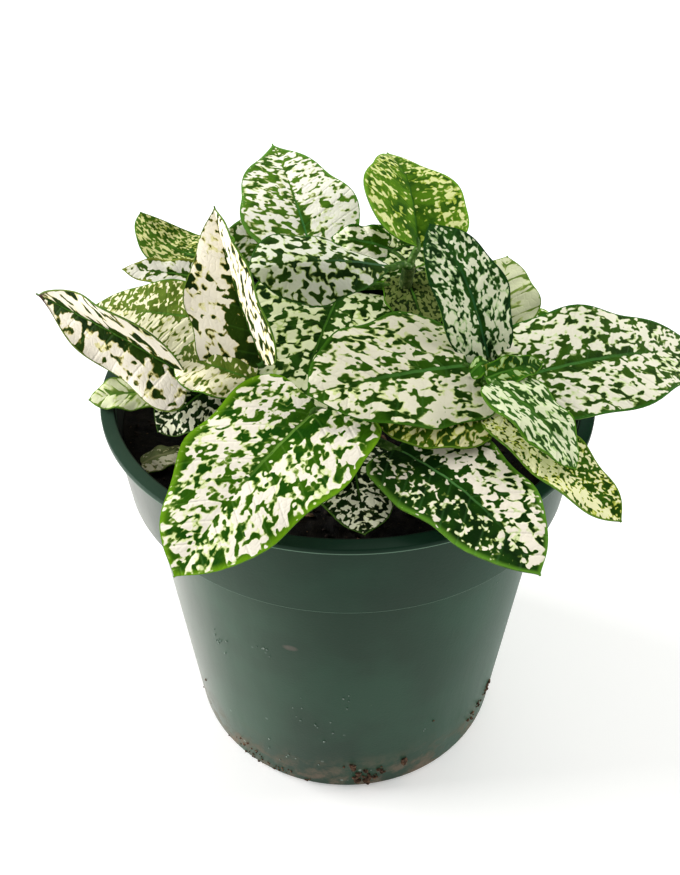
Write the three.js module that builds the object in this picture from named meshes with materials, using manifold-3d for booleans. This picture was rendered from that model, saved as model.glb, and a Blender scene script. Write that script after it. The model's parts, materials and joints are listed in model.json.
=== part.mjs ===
// Potted polka dot plant: a low, spotted foliage plant in a round green nursery pot.
// Millimetres, +Z up. The origin is the centre of the pot's flat underside.
// The plant's front faces -Y and its right-hand side faces +X.

import * as THREE from 'three';
import { mergeVertices } from 'three/addons/utils/BufferGeometryUtils.js';
import Module from 'manifold-3d';

const wasm = await Module();
wasm.setup();

// Pot
const potHeight = 104;
const rimRadius = 57;
const lipHeight = 1.4;
const bandTopRadius = 55;
const bandFootRadius = 53.4;
const bandDepth = 22;
const bodyTopRadius = 49.8;
const baseRadius = 43.5;
const baseChamfer = 1;
const wall = 1.2;
const floorThickness = 1.6;
const roundSegments = 40;
const drainHoles = 8;
const drainHoleRadius = 3.5;
const drainHoleSides = 12;
const drainRingRadius = 35;
const overcut = 1;

// Soil
const soilLevel = 96;
const soilBump = 0.7;
const soilWaves = [[0.31, 0.17], [-0.12, 0.27]];
const soilRings = [14, 28, 41];
const fitGap = 0.3;

// Stems and leaves
const stemDepth = 12;
const stemSides = 6;
const stemSteps = 4;
const stemBow = 2;
const shootShare = 0.85;
const collarHeight = 2;
const stemHoleSides = 16;
const petioleRadius = 0.85;
const petioleRise = 0.08;
const petioleReach = 0.12;
const petioleSides = 5;
const petioleSteps = 3;
const bladeThickness = 0.7;
const bladeGrid = { rows: 8, columns: 4 };
const smallBladeGrid = { rows: 6, columns: 2 };
const smallBladeWidth = 15;
const bladeTipHalfWidth = 0.45;
const bladePointLength = 0.05;
const ripplePower = 3;
const lobePower = 4;
const leafPhase = 1.7;
const halfPhase = 1.9;
const bulgePhase = 1.1;
const slope = 0.02;
const weldDistance = 1e-4;

// Each leaf runs from its base to its tip, with its upper side towards "face".
// width: across the blade, arch: how far the midrib rises above the straight line and
// where (peak), fold: degrees that each half is raised, curl: how far the margin turns up
// as a share of the half width, wave: height of the margin's waves, waves: their number,
// bulge: how much they swell the outline as a share of the half width, sway: sideways bow
// of the midrib, belly: where the blade is widest, taper: how soon it narrows to the tip,
// lobe: how far the foot of each half reaches back, skew: how far one half runs ahead of
// the other, twist: degrees that the blade turns from base to tip, at: where on the stem
// it grows.
const leafDefaults = {
  face: [0, 0, 1], width: 28, arch: 4, peak: 0.5, fold: 6, curl: -0.06, wave: 0.7,
  waves: 2.5, bulge: 0.05, sway: 0, belly: 0.32, taper: 0.55, lobe: 0.25, skew: 0, twist: 0, at: 0.9,
};

const stems = [
  {
    name: 'right_stem',
    root: [22, -5],
    top: [28, -21, 117],
    radius: 1.9,
    leaves: [
      {
        from: [25, -19, 120], to: [-8, -30, 120], face: [0, -0.7, 1],
        width: 26, arch: 2, skew: 0.35, at: 1,
      },
      {
        from: [34, -21, 118], to: [81, -1, 112], face: [0, -0.4, 1],
        width: 28, arch: 3, taper: 0.7, at: 1,
      },
      {
        from: [30, -16, 119], to: [17, 1, 142], face: [0.2, -1, 0.8],
        width: 15.5, arch: 6.5, peak: 0.55, belly: 0.4, at: 1,
      },
      { from: [30, -27, 121], to: [44, -43, 112], face: [0.3, -0.2, 1], width: 15, arch: 2, at: 1 },
      {
        from: [31, -25, 113], to: [52, -51, 106], face: [0.2, -0.4, 1],
        width: 14, arch: 2, fold: 14, sway: 1.2, taper: 0.36, at: 0.8,
      },
      { from: [28, -25, 121], to: [40, -21, 122], face: [0, -0.6, 1], width: 6, arch: 1, at: 1 },
      {
        from: [28, -28, 113.7], to: [6, -31, 113.2], face: [0, -0.3, 1],
        width: 16, arch: 0.5, wave: 0.3, at: 0.7,
      },
      {
        from: [25, -22, 120], to: [30, -21, 121], face: [0, -0.5, 1],
        width: 4.5, arch: 3, fold: -20, wave: 0.2, at: 1,
      },
    ],
  },
  {
    name: 'front_stem',
    root: [-1, -14],
    top: [0, -28, 108],
    radius: 1.8,
    leaves: [
      {
        from: [-6, -27, 114.5], to: [-31, -64, 104], face: [0, -0.2, 1], width: 33, arch: 3,
        belly: 0.25, taper: 0.5, lobe: 0.35, at: 1,
      },
      {
        from: [10.5, -31, 107.2], to: [35, -63, 104], face: [0, -0.2, 1],
        width: 25, arch: 2, fold: 10, sway: -1.5, at: 1,
      },
      { from: [1, -28, 104], to: [3.5, -51.5, 102.5], face: [0, 0, 1], width: 18, arch: 0.5, at: 0.5 },
    ],
  },
  {
    name: 'back_stem',
    root: [12, 22],
    top: [14, 11, 127],
    radius: 1.8,
    leaves: [
      {
        from: [16, 13, 131], to: [10, 54, 137], face: [0.4, -0.6, 1],
        width: 27, fold: 16, wave: 0.4, belly: 0.28, taper: 1.4, at: 1,
      },
      {
        from: [10, 7, 129], to: [-22, 1, 131], face: [0, -0.7, 1],
        width: 19, arch: 3.5, fold: -22, belly: 0.65, skew: 0.25, twist: -25, at: 1,
      },
      { from: [9, 14, 130], to: [-4, 17, 131], face: [0, -0.6, 1], width: 9, arch: 1, at: 1 },
      { from: [-2, 13, 119], to: [-12, -24, 109], face: [0, -0.6, 1], width: 38, arch: 2, at: 0.7 },
      { from: [14, 17, 121], to: [18, -1, 115], face: [0, -0.6, 1], width: 14, arch: 1, at: 0.6 },
    ],
  },
  {
    name: 'left_stem',
    root: [-22, -4],
    top: [-25, -12, 115],
    radius: 1.8,
    leaves: [
      {
        from: [-18, -15, 117.5], to: [-28.5, 5, 144], face: [-0.6, -0.75, 0.27],
        width: 27, arch: 1, fold: 32, belly: 0.27, taper: 0.85, at: 1,
      },
      {
        from: [-35, -14, 113.5], to: [-72, 8, 121], face: [-0.46, -0.87, 0.22], width: 20,
        arch: 1, fold: 34, wave: 1.8, waves: 1.6, sway: 1.5, belly: 0.28, taper: 0.95, skew: 0.5, at: 1,
      },
      {
        from: [-20, -17.5, 114.8], to: [-38, -10, 115], face: [-0.1, -0.5, 0.9],
        width: 14, arch: 2, belly: 0.45, at: 1,
      },
      { from: [-31, -11, 108], to: [-42, -18, 101], face: [0, -0.5, 1], width: 14, arch: 1, at: 0.5 },
      { from: [-44, -9, 105.3], to: [-58, -12, 105.3], face: [0, -0.3, 1], width: 10, arch: 1, at: 0.4 },
    ],
  },
  {
    name: 'left_back_stem',
    root: [-24, 18],
    top: [-28, 19, 118],
    radius: 1.8,
    leaves: [
      {
        from: [-30, 22, 124], to: [-51.5, 34, 129.5], face: [-0.3, -0.7, 0.6],
        width: 13.5, arch: -2, fold: -15, sway: -4, belly: 0.4, taper: 0.5, skew: -0.6, at: 1,
      },
      { from: [-34, 19, 119.4], to: [-55, 22, 120], face: [-0.1, -0.5, 0.9], width: 8, arch: 0.5, at: 0.9 },
      {
        from: [-29, 3, 117], to: [-62, 15, 113.5], face: [-0.3, -0.6, 0.8],
        width: 20, arch: 1, fold: -15, belly: 0.4, skew: -0.3, at: 0.8,
      },
      { from: [-31, 28, 108], to: [-49, 42, 103], face: [0, 0.1, 1], width: 22, arch: 3, at: 0.5 },
      {
        from: [-9, 25, 124], to: [-21, 68, 134], face: [0, -0.4, 1],
        width: 29, arch: 3, belly: 0.28, taper: 1.15, skew: -0.15, at: 1,
      },
    ],
  },
  {
    name: 'right_back_stem',
    root: [31, 18],
    top: [34, 20, 110],
    radius: 1.8,
    leaves: [
      { from: [35, 10, 110], to: [39, 26, 122], face: [0, -1, 0.9], width: 19, arch: 2, taper: 0.8, at: 1 },
      { from: [42, 17, 108], to: [60, 13, 106.5], face: [0, 0.1, 1], width: 16, arch: 1, at: 0.9 },
      { from: [33, 28, 108], to: [26, 65, 100], face: [0, 0.2, 1], width: 24, arch: 4, at: 0.8 },
      { from: [39, 25, 108], to: [45, 38, 105], face: [0, 0.1, 1], width: 13, arch: 1, at: 0.9 },
    ],
  },
  {
    name: 'rear_stem',
    root: [-4, 36],
    top: [-3, 42, 110],
    radius: 1.8,
    leaves: [
      { from: [2, 46, 110], to: [9, 75, 101], face: [0, 0.2, 1], width: 26, arch: 4, at: 1 },
      { from: [-12, 42, 111], to: [-40, 52, 104], face: [0, 0.2, 1], width: 26, arch: 4, at: 1 },
      { from: [-6, 48, 113], to: [-20, 74, 112], face: [0, 0, 1], width: 24, arch: 4, at: 1 },
      { from: [4, 41, 112], to: [25, 50, 115.5], face: [0, -0.5, 1], width: 18, arch: 1.5, at: 1 },
      { from: [-9, 34, 116], to: [-31, 35, 124], face: [0.3, -0.6, 1], width: 20, arch: 1, at: 1 },
    ],
  },
];

const fallenLeaf = {
  ...leafDefaults, from: [-45, -24, 97.1], to: [-34, -21, 97.1], face: [0, 0, 1], width: 8,
  arch: 1.5, fold: -12, curl: 0, wave: 0.4,
};

const finishes = {
  pot: { color: 0x2d463a, roughness: 0.45, metalness: 0 },
  soil: { color: 0x17120e, roughness: 1, metalness: 0 },
  leaf: { color: 0x8fa877, roughness: 0.55, metalness: 0 },
  deadLeaf: { color: 0xb9a98a, roughness: 0.85, metalness: 0 },
};

// Solids from closed geometries

function toSolid(geometry) {
  geometry.deleteAttribute('normal');
  geometry.deleteAttribute('uv');
  const merged = mergeVertices(geometry, weldDistance);
  const corners = merged.index.array;
  const kept = [];
  for (let i = 0; i < corners.length; i += 3) {
    const [a, b, c] = corners.slice(i, i + 3);
    if (a !== b && b !== c && c !== a) kept.push(a, b, c);
  }
  return new wasm.Manifold(new wasm.Mesh({
    numProp: 3,
    vertProperties: new Float32Array(merged.attributes.position.array),
    triVerts: new Uint32Array(kept),
  }));
}

function toMesh(name, solid, finish) {
  const { vertProperties, triVerts } = solid.getMesh();
  const geometry = new THREE.BufferGeometry();
  geometry.setAttribute('position', new THREE.BufferAttribute(new Float32Array(vertProperties), 3));
  geometry.setIndex(new THREE.BufferAttribute(new Uint32Array(triVerts), 1));
  geometry.computeVertexNormals();
  const mesh = new THREE.Mesh(geometry, new THREE.MeshStandardMaterial(finish));
  mesh.name = name;
  return mesh;
}

function turned(profile) {
  const points = profile.map(([radius, height]) => new THREE.Vector2(radius, height));
  const geometry = new THREE.LatheGeometry(points, roundSegments);
  geometry.rotateX(Math.PI / 2);
  return toSolid(geometry);
}

function tube(points, radius, sides, steps) {
  const outline = new THREE.Shape();
  for (let i = 0; i < sides; i += 1) {
    const angle = (2 * Math.PI * i) / sides;
    const [x, y] = [radius * Math.cos(angle), radius * Math.sin(angle)];
    if (i === 0) outline.moveTo(x, y);
    else outline.lineTo(x, y);
  }
  outline.closePath();
  const extrudePath = new THREE.CatmullRomCurve3(points);
  return toSolid(new THREE.ExtrudeGeometry(outline, { steps, extrudePath, bevelEnabled: false }));
}

function post(x, y, low, high, radius, sides) {
  const geometry = new THREE.CylinderGeometry(radius, radius, high - low, sides);
  geometry.rotateX(Math.PI / 2);
  geometry.translate(x, y, (low + high) / 2);
  return toSolid(geometry);
}

// Pot: thin wall, shouldered rim band, out-turned lip, drain holes through the floor

const bandFoot = potHeight - bandDepth;
const lipFoot = potHeight - lipHeight;

function makePot() {
  const shell = turned([
    [0, 0],
    [baseRadius - baseChamfer, 0],
    [baseRadius, baseChamfer],
    [bodyTopRadius, bandFoot],
    [bandFootRadius, bandFoot],
    [bandTopRadius, lipFoot],
    [rimRadius, lipFoot],
    [rimRadius, potHeight],
    [bandTopRadius - wall, potHeight],
    [bandFootRadius - wall, bandFoot + wall],
    [bodyTopRadius - wall, bandFoot + wall],
    [baseRadius - wall, floorThickness],
    [0, floorThickness],
  ]);
  let pot = shell;
  for (let i = 0; i < drainHoles; i += 1) {
    const angle = (2 * Math.PI * (i + 0.5)) / drainHoles;
    const [x, y] = [drainRingRadius * Math.cos(angle), drainRingRadius * Math.sin(angle)];
    pot = pot.subtract(post(x, y, -overcut, floorThickness + overcut, drainHoleRadius, drainHoleSides));
  }
  return pot;
}

// Soil: fills the pot to a little under the rim, loosely uneven on top

function soilHeight(x, y) {
  const waves = soilWaves.map(([alongX, alongY]) => Math.sin(x * alongX + y * alongY));
  return soilLevel + (soilBump * (waves[0] + waves[1])) / 2;
}

function makeSoil() {
  const topRadius = bandTopRadius - wall - fitGap
    - ((potHeight - soilLevel) / bandDepth) * (bandTopRadius - bandFootRadius);
  const geometry = new THREE.LatheGeometry([
    [0, floorThickness + fitGap],
    [baseRadius - wall - fitGap, floorThickness + fitGap],
    [bodyTopRadius - wall - fitGap, bandFoot + wall + fitGap],
    [bandFootRadius - wall - fitGap, bandFoot + wall + fitGap],
    [topRadius, soilLevel],
    ...soilRings.toReversed().map((radius) => [radius, soilLevel]),
    [0, soilLevel],
  ].map(([radius, height]) => new THREE.Vector2(radius, height)), roundSegments);
  geometry.rotateX(Math.PI / 2);
  const { position } = geometry.attributes;
  for (let i = 0; i < position.count; i += 1) {
    if (position.getZ(i) > soilLevel - weldDistance) {
      position.setZ(i, soilHeight(position.getX(i), position.getY(i)));
    }
  }
  return toSolid(geometry);
}

// Leaves: one arched, folded and waved blade each, of an ovate outline

function bladeAxes(leaf) {
  const base = new THREE.Vector3(...leaf.from);
  const along = new THREE.Vector3(...leaf.to).sub(base);
  const chord = along.length();
  along.normalize();
  const face = new THREE.Vector3(...leaf.face);
  face.addScaledVector(along, -face.dot(along)).normalize();
  const side = new THREE.Vector3().crossVectors(along, face);
  return { base, along, chord, face, side };
}

function ribPoint(leaf, axes, u) {
  const rise = Math.sin(Math.PI * u ** (Math.log(0.5) / Math.log(leaf.peak)));
  return axes.base.clone()
    .addScaledVector(axes.along, axes.chord * u)
    .addScaledVector(axes.face, leaf.arch * rise)
    .addScaledVector(axes.side, leaf.sway * Math.sin(Math.PI * u));
}

function halfWidth(leaf, u) {
  const rootPower = (leaf.taper * leaf.belly) / (1 - leaf.belly);
  const point = 1 - Math.exp((u - 1) / bladePointLength);
  const swell = (u / leaf.belly) ** rootPower * ((1 - u) / (1 - leaf.belly)) ** leaf.taper * point;
  return Math.max(bladeTipHalfWidth, (leaf.width / 2) * swell);
}

function bladePoint(leaf, axes, u, v) {
  const inner = Math.min(Math.max(u, slope), 1 - slope);
  const tangent = ribPoint(leaf, axes, inner + slope).sub(ribPoint(leaf, axes, inner - slope));
  tangent.normalize();
  const lift = new THREE.Vector3().crossVectors(axes.side, tangent).normalize();
  lift.applyAxisAngle(tangent, THREE.MathUtils.degToRad(leaf.twist * (u - 0.5)));
  const across = new THREE.Vector3().crossVectors(tangent, lift);
  const fold = THREE.MathUtils.degToRad(leaf.fold);
  const turn = 2 * Math.PI * leaf.waves * u + leaf.phase + (v < 0 ? halfPhase : 0);
  const calm = Math.sin(Math.PI * u);
  const ripple = leaf.wave * calm * Math.abs(v) ** ripplePower * Math.sin(turn);
  const half = halfWidth(leaf, u) * (1 + leaf.bulge * calm * Math.sin(turn + bulgePhase));
  const raised = Math.abs(v) * half * Math.sin(fold) + leaf.curl * half * v * v + ripple;
  const ahead = half * (leaf.skew * v - leaf.lobe * Math.abs(v) * (1 - u) ** lobePower);
  return ribPoint(leaf, axes, u)
    .addScaledVector(across, v * half * Math.cos(fold))
    .addScaledVector(tangent, ahead)
    .addScaledVector(lift, raised);
}

function makeBlade(leaf, axes) {
  const { rows, columns } = leaf.width < smallBladeWidth ? smallBladeGrid : bladeGrid;
  const alongSteps = Array.from({ length: rows + 1 }, (_, i) => 0.5 - 0.5 * Math.cos((Math.PI * i) / rows));
  const acrossSteps = Array.from({ length: columns + 1 }, (_, j) => (2 * j) / columns - 1);
  const upper = [];
  const lower = [];
  for (const u of alongSteps) {
    for (const v of acrossSteps) {
      const [u0, u1] = [Math.max(u - slope, 0), Math.min(u + slope, 1)];
      const [v0, v1] = [Math.max(v - slope, -1), Math.min(v + slope, 1)];
      const alongStep = bladePoint(leaf, axes, u1, v).sub(bladePoint(leaf, axes, u0, v));
      const acrossStep = bladePoint(leaf, axes, u, v1).sub(bladePoint(leaf, axes, u, v0));
      const normal = acrossStep.cross(alongStep).normalize();
      const middle = bladePoint(leaf, axes, u, v);
      upper.push(...middle.clone().addScaledVector(normal, bladeThickness / 2));
      lower.push(...middle.clone().addScaledVector(normal, -bladeThickness / 2));
    }
  }
  const width = columns + 1;
  const under = width * (rows + 1);
  const corners = [];
  const quad = (a, b, c, d) => corners.push(a, b, c, a, c, d);
  for (let i = 0; i < rows; i += 1) {
    for (let j = 0; j < columns; j += 1) {
      const a = i * width + j;
      const [b, c, d] = [a + 1, a + 1 + width, a + width];
      const top = j < columns / 2 ? [a, b, c, d] : [b, c, d, a];
      quad(...top);
      const [e, f, g, h] = top.map((corner) => corner + under);
      corners.push(e, g, f, e, h, g);
    }
  }
  for (let i = 0; i < rows; i += 1) {
    const [a, b] = [i * width, (i + 1) * width];
    quad(a, b, b + under, a + under);
    quad(b + width - 1, a + width - 1, a + width - 1 + under, b + width - 1 + under);
  }
  for (let j = 0; j < columns; j += 1) {
    const far = rows * width + j;
    quad(j + 1, j, j + under, j + 1 + under);
    quad(far, far + 1, far + 1 + under, far + under);
  }
  const geometry = new THREE.BufferGeometry();
  geometry.setAttribute('position', new THREE.Float32BufferAttribute([...upper, ...lower], 3));
  geometry.setIndex(corners);
  return toSolid(geometry);
}

function makePetiole(leaf, axes, start) {
  const base = ribPoint(leaf, axes, 0);
  const inside = ribPoint(leaf, axes, petioleReach);
  const middle = start.clone().lerp(base, 0.5);
  middle.z += petioleRise * start.distanceTo(base);
  return tube([start, middle, base, inside], petioleRadius, petioleSides, petioleSteps);
}

// Stems: a straight foot in the soil, a curved shoot above it, and their leaves

function makeLeafyStem(stem) {
  const [x, y] = stem.root;
  const top = new THREE.Vector3(...stem.top);
  const foot = new THREE.Vector3(x, y, soilLevel + soilBump + fitGap);
  const middle = foot.clone().lerp(top, 0.5);
  middle.z += stemBow;
  const path = new THREE.CatmullRomCurve3([foot, middle, top]);
  let solid = post(x, y, soilLevel - stemDepth, soilLevel + collarHeight, stem.radius, stemSides);
  solid = solid.add(tube([foot, middle, top], stem.radius * shootShare, stemSides, stemSteps));
  stem.leaves.forEach((given, index) => {
    const leaf = { ...leafDefaults, ...given, phase: leafPhase * index + x };
    const axes = bladeAxes(leaf);
    solid = solid.add(makePetiole(leaf, axes, path.getPoint(leaf.at)));
    solid = solid.add(makeBlade(leaf, axes));
  });
  return solid;
}

const plant = new THREE.Group();
plant.add(toMesh('pot', makePot(), finishes.pot));

let soil = makeSoil();
for (const { root: [x, y], radius } of stems) {
  const [low, high] = [soilLevel - stemDepth - fitGap, soilLevel + 2 * collarHeight];
  soil = soil.subtract(post(x, y, low, high, radius + fitGap, stemHoleSides));
}
plant.add(toMesh('soil', soil, finishes.soil));

for (const stem of stems) {
  plant.add(toMesh(stem.name, makeLeafyStem(stem), finishes.leaf));
}
const fallen = { ...fallenLeaf, phase: 0 };
plant.add(toMesh('fallen_leaf', makeBlade(fallen, bladeAxes(fallen)), finishes.deadLeaf));

export default plant;
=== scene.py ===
import json
import math
import random

import bpy
from mathutils import Matrix, Vector, noise

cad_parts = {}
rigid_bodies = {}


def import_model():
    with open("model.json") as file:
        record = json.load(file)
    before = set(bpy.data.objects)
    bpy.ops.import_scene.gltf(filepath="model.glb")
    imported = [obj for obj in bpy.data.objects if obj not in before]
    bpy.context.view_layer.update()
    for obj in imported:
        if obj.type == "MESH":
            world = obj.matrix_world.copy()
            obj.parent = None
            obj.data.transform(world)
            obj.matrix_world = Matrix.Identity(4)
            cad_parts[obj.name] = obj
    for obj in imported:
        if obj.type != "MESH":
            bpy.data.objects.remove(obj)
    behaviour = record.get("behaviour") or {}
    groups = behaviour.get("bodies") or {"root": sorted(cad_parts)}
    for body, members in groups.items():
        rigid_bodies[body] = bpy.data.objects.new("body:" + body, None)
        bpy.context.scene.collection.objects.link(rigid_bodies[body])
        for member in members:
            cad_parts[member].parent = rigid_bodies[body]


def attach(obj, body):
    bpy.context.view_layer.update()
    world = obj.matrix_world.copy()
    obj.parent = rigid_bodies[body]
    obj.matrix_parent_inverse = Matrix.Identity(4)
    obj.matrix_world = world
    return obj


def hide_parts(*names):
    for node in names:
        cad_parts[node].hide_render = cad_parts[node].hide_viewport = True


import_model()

mm = 0.001
chance = random.Random(29)
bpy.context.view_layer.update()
scene = bpy.context.scene


# View: from the front and above, as in the photograph
viewpoint = {    # millimetres, degrees, pixels
    'place': (0, -175.04, 224.3), 'lookDown': 38.4, 'turn': 0.57, 'focalPixels': 901, 'imageHeight': 875,
    'sensor': 36,
}

bpy.ops.object.select_all(action='DESELECT')
bpy.ops.object.camera_add(location=[c * mm for c in viewpoint['place']])
camera = bpy.context.object
camera.rotation_euler = (math.radians(90 - viewpoint['lookDown']), 0, math.radians(viewpoint['turn']))
camera.data.sensor_width = viewpoint['sensor']
camera.data.lens = viewpoint['focalPixels'] * viewpoint['sensor'] / viewpoint['imageHeight']
camera.data.clip_start = 0.01
scene.camera = camera
scene.view_settings.view_transform = 'Standard'
print('camera placed')


# Shader helpers: expressions on wires add Math nodes, every other node comes from Paint.add
class Wire:
    def __init__(self, paint, socket):
        self.paint, self.socket = paint, socket

    def maths(self, operation, *others):
        return self.paint.add('Math', {'operation': operation}, dict(enumerate((self, *others))))

    def __add__(self, other):
        return self.maths('ADD', other)

    def __sub__(self, other):
        return self.maths('SUBTRACT', other)

    def __rsub__(self, other):
        return self.paint.add('Math', {'operation': 'SUBTRACT'}, {0: other, 1: self})

    def __mul__(self, other):
        return self.maths('MULTIPLY', other)

    def __truediv__(self, other):
        return self.maths('DIVIDE', other)

    def __abs__(self):
        return self.maths('ABSOLUTE')

    __radd__ = __add__
    __rmul__ = __mul__


class Paint:
    def __init__(self, name, **fixed):
        self.material = bpy.data.materials.new(name)
        self.material.use_nodes = True
        self.tree = self.material.node_tree
        self.shader = self.tree.nodes['Principled BSDF']
        for socket, value in fixed.items():
            self.shader.inputs[socket].default_value = value

    def add(self, kind, settings=None, values=None, output=0):
        node = self.tree.nodes.new('ShaderNode' + kind)
        for key, value in (settings or {}).items():
            setattr(node, key, value)
        for key, value in (values or {}).items():
            if isinstance(value, Wire):
                self.tree.links.new(value.socket, node.inputs[key])
            else:
                node.inputs[key].default_value = value
        return Wire(self, node.outputs[output])

    def feed(self, socket, wire):
        self.tree.links.new(wire.socket, self.shader.inputs[socket])

    def split(self, vector):
        return [self.add('SeparateXYZ', None, {0: vector}, axis) for axis in range(3)]

    def join(self, x, y, z=0.0):
        return self.add('CombineXYZ', None, {0: x, 1: y, 2: z})

    def uvMap(self, name):
        return self.add('UVMap', {'uv_map': name})

    def objectPlace(self):
        return self.add('TexCoord', None, None, 'Object')

    def noise(self, vector, size, detail=3.0, roughness=0.5, distortion=0.0, flat=False):
        values = {'Vector': vector, 'Scale': 1 / size, 'Detail': detail, 'Roughness': roughness}
        values['Distortion'] = distortion
        return self.add('TexNoise', {'noise_dimensions': '2D' if flat else '3D'}, values)

    def cells(self, vector, size, feature='F1', flat=True, output='Distance'):
        settings = {'voronoi_dimensions': '2D' if flat else '3D', 'feature': feature}
        return self.add('TexVoronoi', settings, {'Vector': vector, 'Scale': 1 / size}, output)

    def rise(self, wire, low, high):    # 0 at low, 1 at high, whichever is larger
        values = {'Value': wire, 'From Min': low, 'From Max': high}
        return self.add('MapRange', {'interpolation_type': 'SMOOTHSTEP'}, values)

    def tint(self, share, first, second):
        first, second = [c if isinstance(c, Wire) else (*c, 1) for c in (first, second)]
        return self.add('Mix', {'data_type': 'RGBA'}, {0: share, 6: first, 7: second}, 2)

    def bump(self, height, depth, strength=1.0):
        values = {'Height': height, 'Distance': depth, 'Strength': strength}
        self.feed('Normal', self.add('Bump', None, values))


bladeRelief = {    # millimetres, slant is a slope, fullHalf is the half width with full quilting
    'quilt': 0.28, 'groove': 0.3, 'grooveWidth': 0.9, 'slant': 0.75, 'veinSpacing': 5.2, 'fullHalf': 5,
}

# Leaf finishes, lengths in millimetres. A point is cream where a field of soft blobs and round spots is above
# 0, and green elsewhere. The right half is the one at the right when the tip points away.
lookDefaults = {
    'green': (0.03, 0.085, 0.003), 'deep': (0.011, 0.038, 0.001),    # green parts, light and dark
    'cream': (0.7, 0.76, 0.42), 'blush': (0.86, 0.84, 0.68),    # patches, at their edges and inside
    'halo': (0.26, 0.3, 0.03),    # green just outside a patch
    'rib': (0.07, 0.2, 0.02), 'rim': (0.08, 0.22, 0.01),    # veins and margin
    'lean': 0.2, 'sideLean': 0, 'tipLean': 0,    # more cream all over, at the right, at the tip
    'blobs': 1, 'patch': 1.8, 'stretch': 1.2, 'flow': 0.5,    # strength, size, length, slant with the veins
    'dot': 1.5, 'dots': 1.6, 'pick': 0,    # round spots: spacing, strength, more cream than green
    'ragged': 0.5, 'soft': 1,    # outlines of the patches: unevenness, blur
    'ribZone': 1.8, 'ribEnd': 0.75,    # green by the midrib: half width at the foot, share of the length
    'ribHold': 1.8, 'ribSide': 0,    # its strength, and how much more of it the right half has
    'rimZone': 0.7, 'rimHold': 1.3, 'veinHold': 0.3,    # green by the margin and on the side veins
    'ribLine': 0.28, 'tipPaintedShade': 0, 'burn': 0, 'roughness': 0.55,    # midrib's half width, painted shade at the tip, burnt tip
}
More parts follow.
